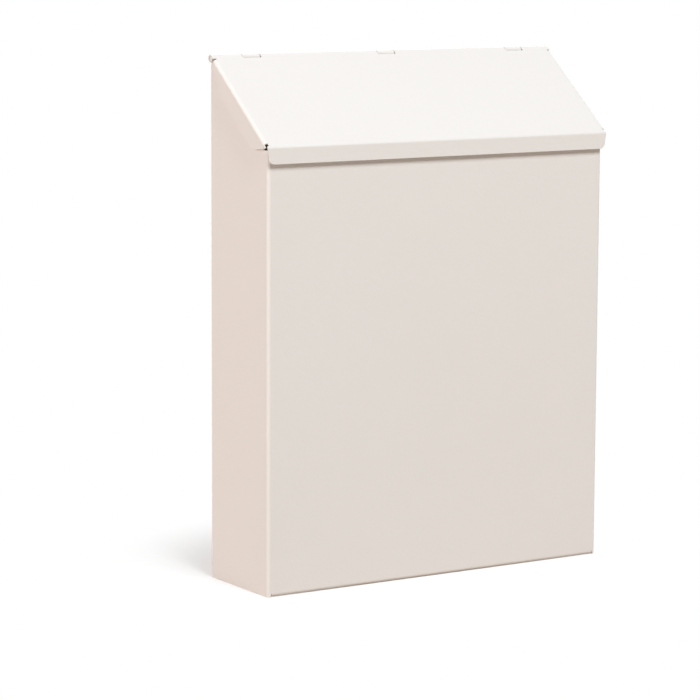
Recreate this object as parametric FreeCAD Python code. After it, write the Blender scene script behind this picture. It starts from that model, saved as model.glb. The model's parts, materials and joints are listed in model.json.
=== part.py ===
"""Wall mailbox of folded sheet steel: a box body under a sloping lid on a rolled wire hinge.

The box stands on its floor with +Z up. Its front looks along -Y, its back lies against the wall on +Y,
and the origin is at the middle of the bottom. Lengths are millimetres, angles degrees.
"""
import FreeCAD, Part
import math
import os

# Overall sizes
body_width = 220.0            # over the two side walls
overall_depth = 65.0          # from the wall to the face of the lid's front lip
overall_height = 290.0        # from the floor to the top of the hinge barrel

# Sheet and bends
sheet = 0.8                   # thickness of every folded piece
bend_radius = 1.2             # inside radius of the bends
corner_radius = 2.0           # free corners of the back panel and the return flanges

# Body shell
rear_flange = 11.0            # return flange at the back of each side wall
hem_depth = 9.0               # folded-in top edge of the front wall
hem_slot = 0.6                # space between the two layers of the hem
hem_end_gap = 1.5             # from each end of the hem to the bend beside it
corner_drop = 2.5             # depth of the cut-out at the top of each front corner
corner_run = 2.5              # from the corner's bend to the rear of that cut-out
floor_flange = 9.0            # upturned rear edge of the floor
floor_seam = 0.3              # from the floor's rear corners to the return flanges
floor_slit = 0.3              # relief slit at each end of the floor's front bend

# Back panel
back_inset = 1.2              # from the outside of a side wall to the panel's edge
screw_hole_radius = 3.0
screw_hole_spacing = 140.0
screw_hole_height = 236.0

# Hinge
pin_radius = 1.4
pin_clearance = 0.05          # between the wire and the rolled sheet, on the radius
pin_end_inset = 0.3           # from the end of the barrel to the end of the wire
pin_chamfer = 0.2
knuckle_curl = 300.0          # how far the sheet is rolled round the wire
tab_places = (-0.78, 0.0, 0.78)  # middles of the back panel's tabs, as shares of half the lid
tab_width = 11.0
knuckle_gap = 0.3             # between neighbouring knuckles
barrel_clearance = 0.3        # from the barrel to the sheet edges beside it
hinge_set_forward = 2.75      # from the wall to the barrel, so that the lid clears the wall
joggle_run = 4.0              # height of the step that sets the tabs forward
tab_slit = 1.0                # relief slit beside each tab

# Lid
lid_slope = 38.0              # below the horizontal, from back to front
lid_side_gap = 1.4            # from a side wall to the lid's side flange
lid_rest_gap = 0.3            # from the lid to the top edges of the box
lip_gap = 1.6                 # from the front wall to the lid's front lip
lip_height = 9.3
lip_end_inset = 0.8           # from the outside of a side flange to the end of the lip
lip_taper = 1.2               # how far each end of the lip slants in towards its foot
lip_corner_radius = 3.5
side_flange = 11.5            # depth of the lid's side flanges
relief_length = 2.2           # notch between a side flange's bend and the lip's, along the slope
relief_depth = 1.3            # how far down the side flange's bend that notch reaches
front_slit = 0.3              # from the front end of a side flange to the lip's bend
rear_slit = 0.8               # relief slit at the rear end of a side flange
flange_rear_start = 3.3       # from the hinge, along the slope, to the side flange
flange_rear_run = 18.0        # length of the slanting cut at its rear end
flange_front_run = 9.4        # length of the slanting cut at its front end
flange_corner_radius = 9.0

# Worked out from the sizes above
outer_bend = bend_radius + sheet
wall_y = overall_depth / 2
lip_y = -overall_depth / 2
front_y = lip_y + sheet + lip_gap
half_body = body_width / 2
half_lid = half_body + lid_side_gap + sheet
barrel_radius = pin_radius + pin_clearance + sheet
axis_y = wall_y - hinge_set_forward - barrel_radius
axis_z = overall_height - barrel_radius
edge_top = axis_z - barrel_radius - barrel_clearance
slope_sin = math.sin(math.radians(lid_slope))
slope_cos = math.cos(math.radians(lid_slope))
tabs = [(place * half_lid - tab_width / 2, place * half_lid + tab_width / 2) for place in tab_places]


def lid_height(y, offset):
    """Height at depth y of the plane that runs parallel to the lid, offset out from the hinge axis."""
    return axis_z + (offset + slope_sin * (y - axis_y)) / slope_cos


def on_lid(along, out):
    """Point (y, z) on the lid: along the slope from the hinge, and out from its outer face."""
    reach = barrel_radius + out
    return (axis_y - along * slope_cos - reach * slope_sin,
            axis_z - along * slope_sin + reach * slope_cos)


lip_top = lid_height(lip_y, barrel_radius)
lip_bottom = lip_top - lip_height
lid_length = (axis_y - barrel_radius * slope_sin - lip_y) / slope_cos
lip_bend_start = lid_length - outer_bend * math.tan(math.radians(90 - lid_slope) / 2)
flange_front_end = lip_bend_start - front_slit
rest_offset = barrel_radius - sheet - lid_rest_gap
front_top = lid_height(front_y, rest_offset)


def unit(a, b):
    """Direction from point a to point b."""
    length = math.hypot(b[0] - a[0], b[1] - a[1])
    return ((b[0] - a[0]) / length, (b[1] - a[1]) / length)


def shifted(point, direction, length):
    return (point[0] + direction[0] * length, point[1] + direction[1] * length)


def sheet_section(path, side, inner_radius):
    """Edges, as point lists, of a bent sheet whose one face follows path.

    side is 1 where the thickness lies left of the path and -1 where it lies right of it.
    """
    near = [path[0]]
    heading = unit(path[0], path[1])
    far = [shifted(path[0], (-heading[1] * side, heading[0] * side), sheet)]
    near_edges = []
    far_edges = []
    for before, corner, after in zip(path, path[1:], path[2:]):
        d1 = unit(before, corner)
        d2 = unit(corner, after)
        turn = math.atan2(d1[0] * d2[1] - d1[1] * d2[0], d1[0] * d2[0] + d1[1] * d2[1])
        hand = math.copysign(1, turn)
        near_radius = inner_radius + (sheet if hand == side else 0)
        far_radius = inner_radius + (0 if hand == side else sheet)
        reach = near_radius * math.tan(abs(turn) / 2)
        start = shifted(corner, d1, -reach)
        end = shifted(corner, d2, reach)
        centre = shifted(start, (-d1[1] * hand, d1[0] * hand), near_radius)
        outward = unit(centre, corner)
        near_edges.append([near[-1], start])
        near_edges.append([start, shifted(centre, outward, near_radius), end])
        near.append(end)
        far_start = shifted(start, (-d1[1] * side, d1[0] * side), sheet)
        far_end = shifted(end, (-d2[1] * side, d2[0] * side), sheet)
        far_edges.append([far[-1], far_start])
        far_edges.append([far_start, shifted(centre, outward, far_radius), far_end])
        far.append(far_end)
    last = unit(path[-2], path[-1])
    far_last = shifted(path[-1], (-last[1] * side, last[0] * side), sheet)
    near_edges.append([near[-1], path[-1]])
    far_edges.append([far[-1], far_last])
    closing = [[path[-1], far_last]]
    backwards = [edge[::-1] for edge in reversed(far_edges)]
    return near_edges + closing + backwards + [[far[0], path[0]]]


def polygon(points):
    """Edges of a closed outline of straight sides."""
    return [[a, b] for a, b in zip(points, points[1:] + points[:1])]


def extruded(edges, origin, across, up, length):
    """Solid of a closed section, drawn at origin along across and up, and pulled along their normal."""
    origin = FreeCAD.Vector(*origin)
    across = FreeCAD.Vector(*across)
    up = FreeCAD.Vector(*up)
    shapes = []
    for edge in edges:
        points = [origin + across * a + up * b for a, b in edge]
        if points[0].distanceToPoint(points[-1]) < 1e-6:
            continue
        curve = Part.LineSegment(*points) if len(points) == 2 else Part.Arc(*points)
        shapes.append(curve.toShape())
    face = Part.Face(Part.Wire(Part.__sortEdges__(shapes)))
    return face.extrude(across.cross(up) * length)


def along_x(edges, x0, x1):
    """Section in the (y, z) plane, pulled from x0 to x1."""
    return extruded(edges, (x0, 0, 0), (0, 1, 0), (0, 0, 1), x1 - x0)


def block(low, high):
    """Box between two corners."""
    size = [b - a for a, b in zip(low, high)]
    return Part.makeBox(*size, FreeCAD.Vector(*low))


def joined(pieces):
    """One sheet from the parts of it."""
    return pieces[0].fuse(pieces[1:]).removeSplitter()


def corner_waste(corner, inward, radius, y):
    """What rounding takes off the corner (x, z) of an upright sheet that lies from y to y + sheet."""
    centre = [place + step * radius for place, step in zip(corner, inward)]
    low = [min(pair) for pair in zip(corner, centre)]
    high = [max(pair) for pair in zip(corner, centre)]
    square = block((low[0], y, low[1]), (high[0], y + sheet, high[1]))
    disc_centre = FreeCAD.Vector(centre[0], y, centre[1])
    return square.cut(Part.makeCylinder(radius, sheet, disc_centre, FreeCAD.Vector(0, 1, 0)))


def knuckle(start_angle, turn, x0, x1):
    """Sheet rolled round the hinge axis from start_angle, in the direction of turn."""
    angles = [math.radians(start_angle + turn * knuckle_curl * part) for part in (0, 0.5, 1)]
    rings = []
    for radius in (barrel_radius, barrel_radius - sheet):
        rings.append([(axis_y + radius * math.cos(a), axis_z + radius * math.sin(a)) for a in angles])
    outside, inside = rings
    edges = [outside, [outside[2], inside[2]], inside[::-1], [inside[0], outside[0]]]
    return along_x(edges, x0, x1)


def lid_knuckles():
    """Start and end of each of the lid's knuckles, which fill the row between the tabs."""
    ends = [-half_lid]
    for x0, x1 in tabs:
        ends += [x0 - knuckle_gap, x1 + knuckle_gap]
    ends.append(half_lid)
    return list(zip(ends[::2], ends[1::2]))


def slant_outline(end, root, foot, inward, run, radius):
    """What a slanting cut with a rounded foot takes off the end of a flange, as (along, height) edges."""
    corner = (end + inward * run, foot)
    slant = unit((end, root), corner)
    half_turn = (math.pi - math.acos(-slant[0] * inward)) / 2
    reach = radius * math.tan(half_turn)
    begin = shifted(corner, slant, -reach)
    finish = (corner[0] + inward * reach, foot)
    centre = (finish[0], foot + radius)
    middle = shifted(centre, unit(centre, corner), radius)
    below = foot - sheet
    beyond = end - inward * sheet
    return [[(end, root), begin], [begin, middle, finish], [finish, (finish[0], below)],
            [(finish[0], below), (beyond, below)], [(beyond, below), (beyond, root)], [(beyond, root), (end, root)]]


def body_shell():
    """Front, sides and floor: one sheet, bent at the front's corners and foot and hemmed at the front's top."""
    flange_y = wall_y - sheet
    path = [(-half_body + rear_flange, flange_y), (-half_body, flange_y), (-half_body, front_y),
            (half_body, front_y), (half_body, flange_y), (half_body - rear_flange, flange_y)]
    walls = extruded(sheet_section(path, 1, bend_radius), (0, 0, 0), (1, 0, 0), (0, 1, 0), overall_height)

    slope_end = axis_y - (rest_offset + (axis_z - edge_top) * slope_cos) / slope_sin
    above = [(lip_y, front_top), (front_y, front_top), (slope_end, edge_top), (wall_y, edge_top),
             (wall_y, overall_height), (lip_y, overall_height)]
    walls = walls.cut(along_x(polygon(above), -half_lid, half_lid))
    for side in (-1, 1):
        flange_edge = side * (half_body - rear_flange)
        for end in (0, edge_top):
            walls = walls.cut(corner_waste((flange_edge, end), (side, 1 if end == 0 else -1), corner_radius,
                                           flange_y - sheet))

    half_front = half_body - outer_bend
    half_hem = half_front - hem_end_gap
    for side in (-1, 1):
        x0, x1 = sorted((side * half_hem, side * half_body))
        walls = walls.cut(block((x0, front_y, front_top - corner_drop),
                                (x1, front_y + outer_bend + corner_run, overall_height)))
    hem_radius = sheet + hem_slot / 2
    hem_back = front_y + 2 * hem_radius
    hem_path = [(front_y, front_top - hem_depth), (front_y, front_top), (hem_back, front_top),
                (hem_back, front_top - hem_depth)]
    hem = along_x(sheet_section(hem_path, -1, hem_slot / 2), -half_hem, half_hem)
    square_top = block((-half_hem, front_y, front_top - hem_radius),
                       (half_hem, front_y + sheet, overall_height))
    square_foot = block((-half_front, front_y, 0), (half_front, front_y + sheet, outer_bend))
    return joined([walls.cut(square_top).cut(square_foot), hem] + floor_parts(half_front - floor_slit))


def floor_parts(half_floor):
    """The floor, which hangs on the front by a bend, and its narrower upturned rear edge."""
    back_in = wall_y - sheet
    half_rear = half_body - rear_flange - floor_seam
    corner_y = back_in - outer_bend - floor_seam
    front = [(front_y, outer_bend), (front_y, 0), (corner_y, 0)]
    rear = [(0, 0), (back_in, 0), (back_in, floor_flange)]
    return [along_x(sheet_section(front, 1, bend_radius), -half_floor, half_floor),
            along_x(sheet_section(rear, 1, bend_radius), -half_rear, half_rear)]


def back_panel():
    """Panel against the wall, with screw holes, and tabs stepped forward and rolled into knuckles."""
    half_panel = half_body - back_inset
    panel = block((-half_panel, wall_y - sheet, 0), (half_panel, wall_y, edge_top))
    for side in (-1, 1):
        for end in (0, edge_top):
            panel = panel.cut(corner_waste((side * half_panel, end), (-side, 1 if end == 0 else -1),
                                           corner_radius, wall_y - sheet))
        place = FreeCAD.Vector(side * screw_hole_spacing / 2, wall_y - sheet, screw_hole_height)
        panel = panel.cut(Part.makeCylinder(screw_hole_radius, sheet, place, FreeCAD.Vector(0, 1, 0)))

    tab_y = wall_y - hinge_set_forward
    step_foot = edge_top - joggle_run
    tab_root = step_foot - outer_bend
    tab_path = [(wall_y, tab_root), (wall_y, step_foot), (tab_y, edge_top), (tab_y, axis_z)]
    tab_section = sheet_section(tab_path, 1, bend_radius)
    pieces = []
    for x0, x1 in tabs:
        panel = panel.cut(block((x0 - tab_slit, wall_y - sheet, tab_root), (x1 + tab_slit, wall_y, edge_top)))
        pieces.append(along_x(tab_section, x0, x1))
        pieces.append(knuckle(0, 1, x0, x1))
    return joined([panel] + pieces)


def lid():
    """Lid: sloping top with a front lip and two side flanges, rolled into knuckles along the back."""
    top_path = [(lip_y, lip_bottom), (lip_y, lip_top), on_lid(0, 0)]
    top = along_x(sheet_section(top_path, -1, bend_radius), -half_lid, half_lid)

    flat_half = half_lid - outer_bend
    half_lip = half_lid - lip_end_inset
    lip_flat_top = lip_top - (lid_length - lip_bend_start)
    slot_start = flange_rear_start - rear_slit
    slot = polygon([on_lid(slot_start, sheet), on_lid(lip_bend_start, sheet),
                    on_lid(lip_bend_start, -2 * sheet), on_lid(slot_start, -2 * sheet)])
    beyond_lip = polygon([on_lid(lip_bend_start, sheet), (lip_y - sheet, lip_top), (lip_y - sheet, lip_bottom),
                          (front_y, lip_bottom), on_lid(lip_bend_start, -2 * sheet)])
    for side in (-1, 1):
        top = top.cut(along_x(slot, *sorted((side * flat_half, side * half_lid))))
        top = top.cut(along_x(beyond_lip, *sorted((side * half_lip, side * half_lid))))
        slant = slant_outline(side * half_lip, lip_flat_top, lip_bottom, -side, lip_taper, lip_corner_radius)
        top = top.cut(extruded(slant, (0, lip_y + sheet, 0), (1, 0, 0), (0, 0, 1), sheet))

    channel_path = [(-half_lid, -side_flange), (-half_lid, 0), (half_lid, 0), (half_lid, -side_flange)]
    start = on_lid(flange_rear_start, 0)
    channel = extruded(sheet_section(channel_path, -1, bend_radius), (0,) + start, (1, 0, 0),
                       (0, -slope_sin, slope_cos), flange_front_end - flange_rear_start)
    for end, inward, run in ((flange_rear_start, 1, flange_rear_run), (flange_front_end, -1, flange_front_run)):
        slant = slant_outline(end, -outer_bend, -side_flange, inward, run, flange_corner_radius)
        channel = channel.cut(along_x([[on_lid(*point) for point in edge] for edge in slant], -half_lid, half_lid))

    relief_start = lip_bend_start - relief_length
    relief = polygon([on_lid(relief_start, sheet), on_lid(lip_bend_start, sheet),
                      on_lid(lip_bend_start, -relief_depth), on_lid(relief_start, -relief_depth)])
    for side in (-1, 1):
        channel = channel.cut(along_x(relief, *sorted((side * flat_half, side * half_lid))))

    notch_end = barrel_radius + barrel_clearance
    notch = polygon([on_lid(-barrel_radius, sheet), on_lid(notch_end, sheet),
                     on_lid(notch_end, -2 * sheet), on_lid(-barrel_radius, -2 * sheet)])
    for x0, x1 in tabs:
        top = top.cut(along_x(notch, x0 - knuckle_gap, x1 + knuckle_gap))
    return joined([top, channel] + [knuckle(90 + lid_slope, -1, x0, x1) for x0, x1 in lid_knuckles()])


def hinge_pin():
    """Steel wire through all the knuckles."""
    half = half_lid - pin_end_inset
    wire = Part.makeCylinder(pin_radius, 2 * half, FreeCAD.Vector(-half, axis_y, axis_z), FreeCAD.Vector(1, 0, 0))
    rims = [edge for edge in wire.Edges if isinstance(edge.Curve, Part.Circle)]
    return wire.makeChamfer(pin_chamfer, rims)


os.makedirs("parts", exist_ok=True)
for build in (body_shell, back_panel, lid, hinge_pin):
    shape = build()
    shape.exportStep(os.path.join("parts", build.__name__ + ".step"))
    box = shape.BoundBox
    print(build.__name__, "solids", len(shape.Solids), "valid", shape.isValid(), "volume %.0f" % shape.Volume,
          "x %.2f %.2f y %.2f %.2f z %.2f %.2f" % (box.XMin, box.XMax, box.YMin, box.YMax, box.ZMin, box.ZMax))
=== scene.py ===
# %% [markdown]
# A wall mailbox is a slim steel box with a sloping lid. Every wall of it is thin sheet that was cut flat,
# folded on a press, spot welded and powder coated in a pale cream. This lesson makes it the same way:
# each piece starts as a flat blank, one small Geometry Nodes tree folds it, and modifiers give it its
# thickness and its softened edges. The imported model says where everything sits, so it is loaded first.

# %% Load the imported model
import json
import math

import bpy
from mathutils import Matrix, Vector
from mathutils.geometry import delaunay_2d_cdt, tessellate_polygon


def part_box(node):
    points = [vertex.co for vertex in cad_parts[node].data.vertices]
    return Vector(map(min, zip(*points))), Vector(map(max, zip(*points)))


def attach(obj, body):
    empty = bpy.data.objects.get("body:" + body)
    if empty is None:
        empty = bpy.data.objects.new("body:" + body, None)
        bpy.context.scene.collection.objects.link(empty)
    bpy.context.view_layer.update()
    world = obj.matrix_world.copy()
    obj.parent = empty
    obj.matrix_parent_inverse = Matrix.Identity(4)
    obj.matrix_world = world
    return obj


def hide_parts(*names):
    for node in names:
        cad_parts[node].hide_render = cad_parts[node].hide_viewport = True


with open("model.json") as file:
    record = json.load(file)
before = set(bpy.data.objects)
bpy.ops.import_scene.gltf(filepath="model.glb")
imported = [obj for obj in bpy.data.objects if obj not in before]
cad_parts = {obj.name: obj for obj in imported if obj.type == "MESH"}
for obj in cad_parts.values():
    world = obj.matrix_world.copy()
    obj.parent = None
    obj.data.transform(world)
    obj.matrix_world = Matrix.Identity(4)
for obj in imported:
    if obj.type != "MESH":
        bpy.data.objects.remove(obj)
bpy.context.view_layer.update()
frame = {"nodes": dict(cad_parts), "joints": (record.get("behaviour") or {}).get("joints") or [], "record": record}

print("nodes:", ", ".join(sorted(frame["nodes"])))

# %% [markdown]
# Sizes come from two places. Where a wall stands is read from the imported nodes, so that the visible
# pieces can't drift from the solids. What a box can't tell, such as the sheet's thickness or a bend's
# radius, is written here once, in millimetres turned into metres.

# %% Sizes of the box and its sheet
MM = 0.001
shell_low, shell_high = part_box("body_shell")
lid_low, lid_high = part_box("lid")
back_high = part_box("back_panel")[1]
hinge = next(joint for joint in frame["joints"] if joint["name"] == "lid_hinge")
axis_y, axis_z = hinge["pos_m"][1:]

sheet = 0.8 * MM
inner_bend = 1.2 * MM
outer_bend = inner_bend + sheet
half_body = shell_high.x
front_y = shell_low.y
wall_y = back_high.y
edge_top = shell_high.z
half_lid = lid_high.x
lip_y = lid_low.y
barrel = back_high.z - axis_z
print(f"body {2 * half_body / MM:.1f} wide, hinge barrel {2 * barrel / MM:.2f} across")

# %% [markdown]
# Node trees are easier to read as sums than as boxes and wires. This class wraps one socket of a tree, so
# that Python's own operators add the Math nodes, and its node method adds any other node: its settings
# are set first, then the values or links of its inputs. Shaders and Geometry Nodes share it.


# %% A socket that can be used in sums
class Socket:
    def __init__(self, tree, socket=None):
        self.tree = tree
        self.socket = socket

    def node(self, kind, settings=None, inputs=None):
        made = self.tree.nodes.new(kind)
        for name, value in (settings or {}).items():
            setattr(made, name, value)
        for name, value in (inputs or {}).items():
            if isinstance(value, Socket):
                self.tree.links.new(value.socket, made.inputs[name])
            else:
                made.inputs[name].default_value = value
        shown = [output for output in made.outputs if output.enabled]
        return Socket(self.tree, shown[0] if shown else None)

    def output(self, name):
        return Socket(self.tree, self.socket.node.outputs[name])

    def math(self, operation, first, second=0.0):
        return self.node("ShaderNodeMath", {"operation": operation}, {0: first, 1: second})

    def vector(self, operation, first, second):
        return self.node("ShaderNodeVectorMath", {"operation": operation}, {0: first, 1: second})

    def times(self, factor):
        return self.node("ShaderNodeVectorMath", {"operation": "SCALE"}, {0: self, "Scale": factor})

    def __add__(self, other):
        return self.math("ADD", self, other)

    def __sub__(self, other):
        return self.math("SUBTRACT", self, other)

    def __rsub__(self, other):
        return self.math("SUBTRACT", other, self)

    def __mul__(self, other):
        return self.math("MULTIPLY", self, other)

    def __truediv__(self, other):
        return self.math("DIVIDE", self, other)

    __radd__ = __add__
    __rmul__ = __mul__

# %% [markdown]
# Powder coat is plastic baked onto steel. It levels out as it melts, but not quite, which leaves a faint
# orange-peel skin of waves a millimetre or two across, a slightly uneven satin gloss and hardly any
# change of colour. A flat colour would look like plastic film. Three noises at three scales give the
# skin, the gloss and the tone, all on Object coordinates, so that they run on over neighbouring sheets.

# %% Powder coat
COAT_COLOUR = (0.800, 0.745, 0.690)
COAT_SHADE = (0.780, 0.722, 0.664)
PEEL_SIZE = 1.6 * MM
PEEL_DEPTH = 0.05 * MM
CLOUD_SIZE = 45 * MM
GRAIN_SIZE = 0.35 * MM
CLOUD_TONE, GRAIN_TONE = 0.6, 0.4
COAT_ROUGHNESS, CLOUD_GLOSS, GRAIN_GLOSS = 0.40, 0.08, 0.06
GRAIN_HEIGHT = 0.15


def new_material(name):
    material = bpy.data.materials.new(name)
    material.use_nodes = True
    material.node_tree.nodes.clear()
    return material, Socket(material.node_tree)


def noise(root, coordinates, size, detail):
    return root.node("ShaderNodeTexNoise", None,
                     {"Vector": coordinates, "Scale": 1 / size, "Detail": detail, "Roughness": 0.5})


def blend(root, factor, first, second):
    # A Mix node keeps sockets for every kind of data. Those for colours are 6 and 7, and 2 on the way out.
    mix = root.node("ShaderNodeMix", {"data_type": "RGBA"},
                    {"Factor": factor, 6: (*first, 1), 7: (*second, 1)})
    return mix.output(2)


def powder_coat():
    material, root = new_material("powder_coat")
    place = root.node("ShaderNodeTexCoord").output("Object")
    clouds = noise(root, place, CLOUD_SIZE, 2.0)
    grain = noise(root, place, GRAIN_SIZE, 1.0)
    peel = noise(root, place, PEEL_SIZE, 1.5)
    colour = blend(root, clouds * CLOUD_TONE + grain * GRAIN_TONE, COAT_SHADE, COAT_COLOUR)
    gloss = COAT_ROUGHNESS + clouds * CLOUD_GLOSS + grain * GRAIN_GLOSS
    bump = root.node("ShaderNodeBump", None,
                     {"Strength": 1.0, "Distance": PEEL_DEPTH, "Height": peel + grain * GRAIN_HEIGHT})
    surface = root.node("ShaderNodeBsdfPrincipled", None,
                        {"Base Color": colour, "Roughness": gloss, "Normal": bump, "IOR": 1.5})
    root.node("ShaderNodeOutputMaterial", None, {"Surface": surface})
    return material


coat = powder_coat()
print("made", coat.name, "with", len(coat.node_tree.nodes), "nodes")

# %% [markdown]
# The hinge wire is drawn steel with a thin zinc plating. Drawing leaves fine scratches along the wire, so
# its noise is squeezed round the wire and stretched along it, which also makes the gloss run lengthwise.

# %% Zinc-plated wire
WIRE_COLOUR = (0.74, 0.74, 0.73)
WIRE_DULL = (0.62, 0.62, 0.61)
SCRATCH_SIZE = 0.25 * MM
SCRATCH_STRETCH = 40
SCRATCH_DEPTH, SCRATCH_STRENGTH = 0.01 * MM, 0.4
WIRE_ROUGHNESS, SCRATCH_GLOSS = 0.28, 0.2


def zinc_plate():
    material, root = new_material("zinc_plate")
    place = root.node("ShaderNodeTexCoord").output("Object")
    along = root.node("ShaderNodeMapping", None, {"Vector": place, "Scale": (1 / SCRATCH_STRETCH, 1, 1)})
    scratches = noise(root, along, SCRATCH_SIZE, 3.0)
    colour = blend(root, scratches, WIRE_DULL, WIRE_COLOUR)
    gloss = WIRE_ROUGHNESS + scratches * SCRATCH_GLOSS
    bump = root.node("ShaderNodeBump", None,
                     {"Strength": SCRATCH_STRENGTH, "Distance": SCRATCH_DEPTH, "Height": scratches})
    surface = root.node("ShaderNodeBsdfPrincipled", None,
                        {"Base Color": colour, "Metallic": 1.0, "Roughness": gloss, "Normal": bump})
    root.node("ShaderNodeOutputMaterial", None, {"Surface": surface})
    return material


wire = zinc_plate()
frame["nodes"]["hinge_pin"].material_slots[0].material = wire
print("hinge wire is", wire.name)

# %% [markdown]
# Folding is a rule: past the bend line the sheet first follows an arc, then runs straight on. The tree
# below writes that rule once for any bend. It measures each point's way past the line, turns as much of
# it as fits into arc, and carries along whatever was folded before. Its named inputs are the middle and
# length of the bend line, the direction across it, the side the flap turns to, and the angle and radius.


# %% The folding tree
def folding_tree():
    tree = bpy.data.node_groups.new("fold_sheet", "GeometryNodeTree")
    face = tree.interface
    face.new_socket("Sheet", in_out="INPUT", socket_type="NodeSocketGeometry")
    for name in ("Middle", "Across", "Inward"):
        face.new_socket(name, in_out="INPUT", socket_type="NodeSocketVector")
    for name in ("Length", "Angle", "Radius"):
        face.new_socket(name, in_out="INPUT", socket_type="NodeSocketFloat")
    face.new_socket("Finish", in_out="INPUT", socket_type="NodeSocketMaterial")
    face.new_socket("Sheet", in_out="OUTPUT", socket_type="NodeSocketGeometry")

    root = Socket(tree)
    given = root.node("NodeGroupInput")
    across, inward = given.output("Across"), given.output("Inward")
    radius = given.output("Radius")
    offset = root.vector("SUBTRACT", root.node("GeometryNodeInputPosition"), given.output("Middle"))
    along = root.vector("CROSS_PRODUCT", across, inward)
    beyond = root.math("MAXIMUM", root.vector("DOT_PRODUCT", offset, across).output("Value"), 0.0)
    height = root.vector("DOT_PRODUCT", offset, inward).output("Value")
    sideways = root.vector("DOT_PRODUCT", offset, along).output("Value")

    turned = root.math("MINIMUM", beyond / radius, given.output("Angle"))
    straight = beyond - turned * radius
    sine, cosine = root.math("SINE", turned), root.math("COSINE", turned)
    forward = (radius - height) * sine + straight * cosine - beyond
    inside = (radius - height) * (1 - cosine) + straight * sine
    shift = root.vector("ADD", across.times(forward), inward.times(inside))
    flap = root.math("LESS_THAN", root.math("ABSOLUTE", sideways), given.output("Length") * 0.5)
    folded = root.node("GeometryNodeSetPosition", None,
                       {"Geometry": given.output("Sheet"), "Selection": flap, "Offset": shift})
    whole = root.node("GeometryNodeRealizeInstances", None, {"Geometry": folded})
    coated = root.node("GeometryNodeSetMaterial", None,
                       {"Geometry": whole, "Material": given.output("Finish")})
    root.node("NodeGroupOutput", None, {"Sheet": coated})
    return tree


fold_tree = folding_tree()
print("fold_sheet has", len(fold_tree.nodes), "nodes")

# %% [markdown]
# A blank is an outline with holes, and creases where it will bend. A bend needs several creases side by
# side, because a mesh can only turn at its edges. Blender's constrained triangulation takes the outlines
# and creases together and gives faces that respect both; the faces outside the outline, or in a hole, are
# dropped.


# %% Cutting and folding a blank
KEEP_CREASES = 4
MERGE_WITHIN = 1e-5


def inside(point, loops):
    crossings = 0
    for loop in loops:
        for (a, b), (c, d) in zip(loop, loop[1:] + loop[:1]):
            if (b > point[1]) != (d > point[1]):
                crossings += a + (point[1] - b) * (c - a) / (d - b) > point[0]
    return crossings % 2 == 1


def cut_blank(name, loops, creases, place):
    points = []
    edges = []
    for loop in loops:
        first = len(points)
        points += loop
        edges += [(first + i, first + (i + 1) % len(loop)) for i in range(len(loop))]
    for crease in creases:
        edges.append((len(points), len(points) + 1))
        points += crease
    points = [Vector((a / MM, b / MM)) for a, b in points]
    corners, _, faces, *_ = delaunay_2d_cdt(points, edges, [], KEEP_CREASES, MERGE_WITHIN)
    corners = [(corner.x * MM, corner.y * MM) for corner in corners]
    kept = []
    for face in faces:
        outline = [corners[i] for i in face]
        ears = tessellate_polygon([[Vector((*corner, 0)) for corner in outline]])
        middle = [sum(outline[i][k] for i in ears[0]) / 3 for k in (0, 1)]
        if inside(middle, loops):
            kept.append(face)
    mesh = bpy.data.meshes.new(name)
    mesh.from_pydata([place(*corner) for corner in corners], [], kept)
    blank = bpy.data.objects.new(name, mesh)
    bpy.context.scene.collection.objects.link(blank)
    return blank


def bend_lines(start, length, steps):
    return [start + length * i / steps for i in range(steps + 1)]


def arc(centre, radius, start, turn, steps):
    angles = [math.radians(start + turn * i / steps) for i in range(steps + 1)]
    return [(centre[0] + radius * math.cos(a), centre[1] + radius * math.sin(a)) for a in angles]


# %% [markdown]
# Thickness and edges come last, as they do in the shop. Solidify grows the sheet inwards from its outer
# face, and Bevel rounds the cut edges the way the coat does when it melts over them. It must not slide
# its new points along the long thin triangles of a flat blank, or some would turn over, so loop slide is
# off and the rounding is less than half the narrowest slit. Weighted Normal keeps the big faces flat in
# the light. The finished mesh is then taken off the modifiers, so that the piece is plain. Rounding can
# push a point a hair past the solid it stands for, so every point is brought back into the solid's box.

# %% Finishing a folded sheet
EDGE_ROUND = 0.12 * MM
EDGE_STEPS = 3
EDGE_ANGLE = math.radians(50)
socket_ids = {item.name: item.identifier
              for item in fold_tree.interface.items_tree if item.in_out == "INPUT"}


def fold(blank, middle, across, inward, angle, radius, length=1.0):
    bend = blank.modifiers.new("fold", "NODES")
    bend.node_group = fold_tree
    values = {"Middle": middle, "Across": across, "Inward": inward, "Length": length,
              "Angle": angle, "Radius": radius, "Finish": coat}
    for name, value in values.items():
        bend[socket_ids[name]] = tuple(value) if isinstance(value, Vector) else value


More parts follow.
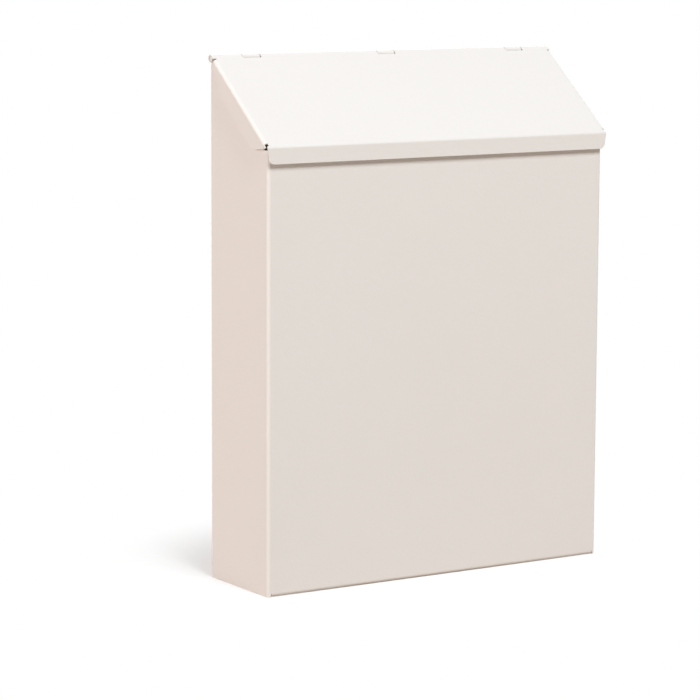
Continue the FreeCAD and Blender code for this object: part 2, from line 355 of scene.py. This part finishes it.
def finish_sheet(blank, body, node):
    thick = blank.modifiers.new("thickness", "SOLIDIFY")
    thick.thickness = sheet
    thick.offset = -1
    thick.use_even_offset = True
    thick.use_quality_normals = True
    round_off = blank.modifiers.new("coated edges", "BEVEL")
    round_off.width = EDGE_ROUND
    round_off.segments = EDGE_STEPS
    round_off.limit_method = "ANGLE"
    round_off.angle_limit = EDGE_ANGLE
    round_off.use_clamp_overlap = False
    round_off.loop_slide = False
    round_off.face_strength_mode = "FSTR_ALL"
    flat = blank.modifiers.new("flat faces", "WEIGHTED_NORMAL")
    flat.use_face_influence = True
    for face in blank.data.polygons:
        face.use_smooth = True
    bpy.context.view_layer.update()
    evaluated = blank.evaluated_get(bpy.context.evaluated_depsgraph_get())
    mesh = bpy.data.meshes.new_from_object(evaluated)
    mesh.name = blank.name
    solid_low, solid_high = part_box(node)
    for vertex in mesh.vertices:
        vertex.co = [min(max(place, a), b) for place, a, b in zip(vertex.co, solid_low, solid_high)]
    blank.modifiers.clear()
    blank.data = mesh
    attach(blank, body)
    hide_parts(node)
    low = Vector(min(v.co[k] for v in mesh.vertices) for k in range(3)) / MM
    high = Vector(max(v.co[k] for v in mesh.vertices) for k in range(3)) / MM
    spans = ", ".join(f"{a:.2f} to {b:.2f}" for a, b in zip(low, high))
    print(f"{blank.name}: {len(mesh.polygons)} faces, {spans} mm")
    return blank


X, Y, Z = Vector((1, 0, 0)), Vector((0, 1, 0)), Vector((0, 0, 1))
QUARTER = math.pi / 2
BEND_STEPS = 8

# %% [markdown]
# The lid's plane decides where the other sheets end, so it is worked out first. Its outer face touches
# the hinge barrel and slopes down to the front. A point on it is given by its way down the slope from the
# hinge.

# %% The slope of the lid
slope = math.radians(38.0)
down_slope = Vector((0, -math.cos(slope), -math.sin(slope)))
lid_out = Vector((0, -math.sin(slope), math.cos(slope)))
hinge_line = Vector((0, axis_y, axis_z))
lid_rest_gap = 0.3 * MM


def plane_height(y, offset):
    return axis_z + (offset + math.sin(slope) * (y - axis_y)) / math.cos(slope)


def plane_depth(z, offset):
    return axis_y + ((z - axis_z) * math.cos(slope) - offset) / math.sin(slope)


rest_offset = barrel - sheet - lid_rest_gap
front_top = plane_height(front_y, rest_offset)
print(f"front wall {front_top / MM:.2f} high, side walls {edge_top / MM:.2f}")

# %% [markdown]
# Front, sides and floor are one sheet. The front and sides are a long strip, wrapped round the box like a
# sleeve. Its top edge rises along the sides to meet the lid, and the front's top edge is folded over into
# a hem, so that no cut edge meets a hand that reaches in. The floor hangs on the front's foot: the sheet
# turns under there in one bend, which shows as a soft dark line, and turns up again in front of the back.
# All of it is drawn flat: across is the way round the box, up is up, and the floor hangs below. The
# corners between two bends are cut away, because a flat sheet can't turn two neighbouring edges without
# tearing.

# %% Front, sides and floor
rear_flange = 11.0 * MM
hem_depth = 9.0 * MM
hem_round = sheet + 0.3 * MM
hem_end_gap = 1.5 * MM
corner_drop = 2.5 * MM
corner_run = 2.5 * MM
floor_flange = 9.0 * MM
floor_seam = 0.3 * MM
floor_slit = 0.3 * MM
corner_round = 2.0 * MM
HEM_STEPS = 12
CORNER_STEPS = 8

flange_y = wall_y - sheet
quarter_arc = QUARTER * outer_bend
bend_one = half_body - outer_bend
side_start = bend_one + quarter_arc
bend_two = side_start + (flange_y - outer_bend) - (front_y + outer_bend)
strip_end = bend_two + quarter_arc + rear_flange - outer_bend
half_hem = bend_one - hem_end_gap
hem_line = front_top - hem_round
hem_top = hem_line + math.pi * hem_round + hem_depth - hem_round
slope_end = side_start + plane_depth(edge_top, rest_offset) - (front_y + outer_bend)
half_floor = bend_one - floor_slit
half_rear = half_body - rear_flange - floor_seam
rear_line = outer_bend - quarter_arc - (flange_y - outer_bend) + (front_y + outer_bend)
floor_end = rear_line - quarter_arc - floor_flange + outer_bend


def wall_right_half():
    cut_low, cut_end = front_top - corner_drop, side_start + corner_run
    slope_start = plane_height(front_y + outer_bend + corner_run, rest_offset)
    outline = [(half_hem, hem_top), (half_hem, cut_low), (cut_end, cut_low), (cut_end, slope_start),
               (slope_end, edge_top)]
    outline += arc((strip_end - corner_round, edge_top - corner_round), corner_round, 90, -90, CORNER_STEPS)
    outline += arc((strip_end - corner_round, corner_round), corner_round, 0, -90, CORNER_STEPS)
    outline += [(bend_one, 0.0), (bend_one, outer_bend), (half_floor, outer_bend)]
    seam_line = rear_line + floor_seam
    return outline + [(half_floor, seam_line), (half_rear, seam_line), (half_rear, floor_end)]


def mirrored(half):
    return half + [(-a, b) for a, b in reversed(half)]


creases = [[(-half_hem, z), (half_hem, z)] for z in bend_lines(hem_line, math.pi * hem_round, HEM_STEPS)]
for way in bend_lines(0, quarter_arc, BEND_STEPS):
    creases.append([(-half_floor, outer_bend - way), (half_floor, outer_bend - way)])
    creases.append([(-half_rear, rear_line - way), (half_rear, rear_line - way)])
    for start in (bend_one, bend_two):
        creases += [[(side * (start + way), 0.0), (side * (start + way), edge_top)] for side in (-1, 1)]

shell = cut_blank("body_sheet", [mirrored(wall_right_half())], creases,
                  lambda a, b: Vector((a, front_y, b)))
fold(shell, (0, front_y, rear_line), -Z, Y, QUARTER, outer_bend)
fold(shell, (0, front_y, outer_bend), -Z, Y, QUARTER, outer_bend, 2 * half_floor + floor_slit)
fold(shell, (0, front_y, hem_line), Z, Y, math.pi, hem_round, 2 * half_hem + hem_end_gap)
for start in (bend_two, bend_one):
    for side in (-1, 1):
        fold(shell, (side * start, front_y, 0), side * X, Y, QUARTER, outer_bend)
finish_sheet(shell, "box", "body_shell")

# %% [markdown]
# The back lies flat on the wall. Three narrow tabs at its top step forward, so that the lid clears the
# wall, and are rolled round the hinge wire. The lid's own long knuckles stand between and beside them on
# the same wire. One more crease runs through both screw holes: a mesh face can't have a hole, so the
# panel is split where they lie.

# %% Knuckles and back panel
back_inset = 1.2 * MM
screw_radius = 3.0 * MM
screws = next(mount for mount in frame["record"]["mounts"] if mount["name"] == "screw_holes")
TAB_PLACES = (-0.78, 0.0, 0.78)
tab_width = 11.0 * MM
knuckle_gap = 0.3 * MM
barrel_clearance = 0.3 * MM
curl = math.radians(300)
set_forward = 2.75 * MM
step_run = 4.0 * MM
tab_slit = 1.0 * MM
CURL_STEPS = 32
HOLE_STEPS = 40
LEAN_STEPS = 4

tabs = [(place * half_lid - tab_width / 2, place * half_lid + tab_width / 2) for place in TAB_PLACES]
lean = math.atan(set_forward / step_run)
step_foot = edge_top - step_run
tab_root = step_foot - outer_bend
lower_line = step_foot - outer_bend * math.tan(lean / 2)
upper_line = (lower_line + outer_bend * lean + math.hypot(set_forward, step_run)
              - (outer_bend + inner_bend) * math.tan(lean / 2))
curl_line = upper_line + inner_bend * lean + axis_z - edge_top - inner_bend * math.tan(lean / 2)
curl_end = curl_line + curl * barrel
half_panel = half_body - back_inset

outline = arc((half_panel - corner_round, corner_round), corner_round, -90, 90, CORNER_STEPS)
outline += arc((half_panel - corner_round, edge_top - corner_round), corner_round, 0, 90, CORNER_STEPS)
for x0, x1 in reversed(tabs):
    outline += [(x1 + tab_slit, edge_top), (x1 + tab_slit, tab_root), (x1, tab_root), (x1, curl_end),
                (x0, curl_end), (x0, tab_root), (x0 - tab_slit, tab_root), (x0 - tab_slit, edge_top)]
outline += arc((corner_round - half_panel, edge_top - corner_round), corner_round, 90, 90, CORNER_STEPS)
outline += arc((corner_round - half_panel, corner_round), corner_round, 180, 90, CORNER_STEPS)
screw_x, screw_z = screws["dims"]["spacing_x_mm"] * MM / 2, screws["pos_m"][2]
holes = [arc((side * screw_x, screw_z), screw_radius, 0, 360, HOLE_STEPS)[:-1] for side in (-1, 1)]
creases = [[(-half_panel, screw_z), (half_panel, screw_z)]]
for x0, x1 in tabs:
    heights = bend_lines(lower_line, outer_bend * lean, LEAN_STEPS)
    heights += bend_lines(upper_line, inner_bend * lean, LEAN_STEPS)
    heights += bend_lines(curl_line, curl * barrel, CURL_STEPS)[:-1]
    creases += [[(x0, z), (x1, z)] for z in heights]

back = cut_blank("back_sheet", [outline] + holes, creases, lambda a, b: Vector((-a, wall_y, b)))
for x0, x1 in tabs:
    middle = (x0 + x1) / 2
    length = x1 - x0 + tab_slit
    fold(back, (middle, wall_y, curl_line), Z, -Y, curl, barrel, length)
    fold(back, (middle, wall_y, upper_line), Z, Y, lean, inner_bend, length)
    fold(back, (middle, wall_y, lower_line), Z, -Y, lean, outer_bend, length)
finish_sheet(back, "box", "back_panel")

# %% [markdown]
# The lid is the piece that everyone looks at: one blank gives its top, the short lip in front, the two
# side flanges with their slanting ends and the rolled knuckles at the back. A punched notch at each front
# corner and a slit at each rear one let every flap bend alone. The notch shows as a small dark dot beside
# the lip.

# %% Lid
lip_height = 9.3 * MM
lip_end_inset = 0.8 * MM
lip_taper = 1.2 * MM
lip_corner = 3.5 * MM
side_flange = 11.5 * MM
relief_length = 2.2 * MM
relief_depth = 1.3 * MM
front_slit = 0.3 * MM
rear_slit = 0.8 * MM
flange_start = 3.3 * MM
rear_run = 18.0 * MM
front_run = 9.4 * MM
flange_corner = 9.0 * MM

lip_turn = QUARTER - slope
lip_reach = outer_bend * math.tan(lip_turn / 2)
lid_length = (axis_y - barrel * math.sin(slope) - lip_y) / math.cos(slope)
lip_line = lid_length - lip_reach
lip_flat = lip_line + outer_bend * lip_turn
lip_end = lip_flat + lip_height - lip_reach
flange_end = lip_line - front_slit
flat_half = half_lid - outer_bend
half_lip = half_lid - lip_end_inset
flange_root = flat_half + quarter_arc
flange_foot = flange_root + side_flange - outer_bend
notch_depth = barrel + barrel_clearance


def rounded(before, corner, after, radius):
    """Points of the arc that rounds off the corner on the way from before to after."""
    before, corner, after = Vector(before), Vector(corner), Vector(after)
    inward, outward = (before - corner).normalized(), (after - corner).normalized()
    half_angle = inward.angle(outward) / 2
    reach = radius / math.tan(half_angle)
    centre = corner + (inward + outward).normalized() * radius / math.sin(half_angle)
    begin = corner + inward * reach - centre
    turn = begin.angle_signed(corner + outward * reach - centre)
    points = []
    for i in range(CORNER_STEPS + 1):
        spoke = begin.copy()
        spoke.rotate(Matrix.Rotation(-turn * i / CORNER_STEPS, 2))
        points.append(tuple(centre + spoke))
    return points


def lid_right_half():
    lip_foot = (half_lip - lip_taper, lip_end)
    lip_head = (half_lip, lip_flat)
    relief_start = lip_line - relief_length
    relief_turn = math.acos(1 - relief_depth / outer_bend)
    relief_side = flat_half + quarter_arc * round(relief_turn / QUARTER * BEND_STEPS) / BEND_STEPS
    front_root, front_foot = (flange_root, flange_end), (flange_foot, flange_end - front_run)
    rear_root, rear_foot = (flange_root, flange_start), (flange_foot, flange_start + rear_run)
    outline = rounded((0, lip_end), lip_foot, lip_head, lip_corner) + [lip_head, (half_lip, lip_line)]
    outline += [(flat_half, lip_line), (flat_half, relief_start), (relief_side, relief_start)]
    outline += [(relief_side, flange_end), front_root]
    outline += rounded(front_root, front_foot, rear_foot, flange_corner)
    outline += rounded(front_foot, rear_foot, rear_root, flange_corner)
    outline += [rear_root, (flat_half, flange_start)]
    return outline + [(flat_half, flange_start - rear_slit), (half_lid, flange_start - rear_slit)]


row_ends = [-half_lid]
for x0, x1 in tabs:
    row_ends += [x0 - knuckle_gap, x1 + knuckle_gap]
row_ends.append(half_lid)
knuckles = list(zip(row_ends[::2], row_ends[1::2]))

outline = lid_right_half()
for x0, x1 in reversed(knuckles):
    outline += [(x1, notch_depth)] if x1 < half_lid else []
    outline += [(x1, -curl * barrel), (x0, -curl * barrel)]
    outline += [(x0, notch_depth)] if x0 > -half_lid else []
outline += [(-a, b) for a, b in reversed(lid_right_half())]

lip_ways = bend_lines(lip_line, outer_bend * lip_turn, BEND_STEPS)
creases = [[(-half_lip, way), (half_lip, way)] for way in lip_ways]
for way in bend_lines(flat_half, quarter_arc, BEND_STEPS):
    creases += [[(side * way, flange_start), (side * way, flange_end)] for side in (-1, 1)]
for x0, x1 in knuckles:
    creases += [[(x0, -way), (x1, -way)] for way in bend_lines(0, curl * barrel, CURL_STEPS)[:-1]]

hinge_edge = hinge_line + lid_out * barrel
turned_outline = [(a, -b) for a, b in outline]
turned_creases = [[(a, -b) for a, b in crease] for crease in creases]
lid = cut_blank("lid_sheet", [turned_outline], turned_creases,
                lambda a, b: hinge_edge + X * a - down_slope * b)
fold(lid, hinge_edge, -down_slope, -lid_out, curl, barrel)
fold(lid, hinge_edge + down_slope * lip_line, down_slope, -lid_out, lip_turn, outer_bend)
flange_middle = hinge_edge + down_slope * (flange_start + flange_end) / 2
for side in (-1, 1):
    fold(lid, flange_middle + X * side * flat_half, side * X, -lid_out, QUARTER, outer_bend,
         flange_end - flange_start + front_slit)
finish_sheet(lid, "lid", "lid")

# %% [markdown]
# The room is plain: a white floor that takes the shadow and turns into a white backdrop away from the
# box, which the camera and any gloss see as pure white, while the light that falls on the box stays at a
# natural level.

# %% Floor and backdrop
FLOOR_HALF = 6.0
FLOOR_SEEN = (1.0, 0.96, 0.92)
FLOOR_BOUNCE = (0.57, 0.47, 0.39)
SHADOW_NEAR = 0.05
SHADOW_FAR = 0.18


def seen_directly(root):
    path = root.node("ShaderNodeLightPath")
    direct = root.math("MAXIMUM", path.output("Is Camera Ray"), path.output("Is Glossy Ray"))
    return root.math("MAXIMUM", direct, path.output("Is Transmission Ray"))


def floor_material():
    material, root = new_material("white_floor")
    place = root.node("ShaderNodeTexCoord").output("Object")
    distance = root.vector("LENGTH", place, (0, 0, 0)).output("Value")
    away = root.node("ShaderNodeMapRange", {"interpolation_type": "SMOOTHSTEP"},
                     {"Value": distance, "From Min": SHADOW_NEAR, "From Max": SHADOW_FAR})
    direct = seen_directly(root)
    paper = root.node("ShaderNodeBsdfDiffuse", None,
                      {"Color": blend(root, direct, FLOOR_BOUNCE, FLOOR_SEEN)})
    white = root.node("ShaderNodeEmission", None, {"Color": (1, 1, 1, 1), "Strength": 1.0})
    mixed = root.node("ShaderNodeMixShader", None, {0: away * direct, 1: paper, 2: white})
    root.node("ShaderNodeOutputMaterial", None, {"Surface": mixed})
    return material


ground = bpy.data.meshes.new("floor")
ground.from_pydata([(x * FLOOR_HALF, y * FLOOR_HALF, 0) for x, y in ((-1, -1), (1, -1), (1, 1), (-1, 1))],
                   [], [(0, 1, 2, 3)])
ground.materials.append(floor_material())
floor = bpy.data.objects.new("floor", ground)
bpy.context.scene.collection.objects.link(floor)

world = bpy.data.worlds.new("studio")
bpy.context.scene.world = world
world.use_nodes = True
world.node_tree.nodes.clear()
root = Socket(world.node_tree)
AMBIENT = 0.14
strength = AMBIENT + seen_directly(root) * (1 - AMBIENT)
sky = root.node("ShaderNodeBackground", None, {"Color": (1, 1, 1, 1), "Strength": strength})
root.node("ShaderNodeOutputWorld", None, {"Surface": sky})

# %% [markdown]
# Three soft boxes stand round the box. The main one is far off and high in front: it meets the lid
# squarely, which makes it the brightest face, and throws the lip's shadow down the front wall. A low one
# on the left lights the side wall and hardly reaches the lid, and a weak one behind keeps the back from
# going black. The pale lid sets their strength: it has to stay just below pure white, so that its colour
# still shows. Each call gives the direction in degrees, the distance and size in metres, the power in
# watts and the colour.


# %% Lights
LAMP_AIM = Vector((0, 0, 0.15))


def soft_box(name, direction, distance, size, power, colour):
    lamp = bpy.data.lights.new(name, "AREA")
    lamp.shape = "SQUARE"
    lamp.size = size
    lamp.energy = power
    lamp.color = colour
    stand = bpy.data.objects.new(name, lamp)
    azimuth, elevation = (math.radians(angle) for angle in direction)
    away = Vector((math.sin(azimuth) * math.cos(elevation), -math.cos(azimuth) * math.cos(elevation),
                   math.sin(elevation)))
    stand.location = LAMP_AIM + away * distance
    stand.rotation_euler = away.to_track_quat("Z", "Y").to_euler()
    bpy.context.scene.collection.objects.link(stand)
    return stand


soft_box("front_box", (-2, 51), 4.0, 1.4, 164, (0.87, 0.935, 1.0))
soft_box("left_box", (-96, 12), 2.2, 1.2, 26, (1.0, 0.95, 0.97))
soft_box("rear_box", (150, 36), 3.0, 1.2, 24, (1.0, 1.0, 1.0))

# %% [markdown]
# The camera stands where the photographer stood: far off with a long lens, to the left of the front and a
# little above.

# %% Camera
VIEW_YAW, VIEW_PITCH, VIEW_ROLL = 32.392, 8.339, 0.252
VIEW_DISTANCE = 1.6893
VIEW_TARGET = Vector((-0.03913, 0.0, 0.12624))
FOCAL_PIXELS, IMAGE_PIXELS, SENSOR = 3047.0, 700, 36.0

lens = bpy.data.cameras.new("camera")
lens.sensor_width = SENSOR
lens.lens = FOCAL_PIXELS / IMAGE_PIXELS * SENSOR
camera = bpy.data.objects.new("camera", lens)
turn = Matrix.Rotation(math.radians(-VIEW_YAW), 4, "Z")
turn @= Matrix.Rotation(math.radians(90 - VIEW_PITCH), 4, "X")
turn @= Matrix.Rotation(math.radians(VIEW_ROLL), 4, "Z")
camera.matrix_world = Matrix.Translation(VIEW_TARGET) @ turn @ Matrix.Translation((0, 0, VIEW_DISTANCE))
bpy.context.scene.collection.objects.link(camera)
bpy.context.scene.camera = camera
bpy.context.scene.view_settings.view_transform = "Standard"
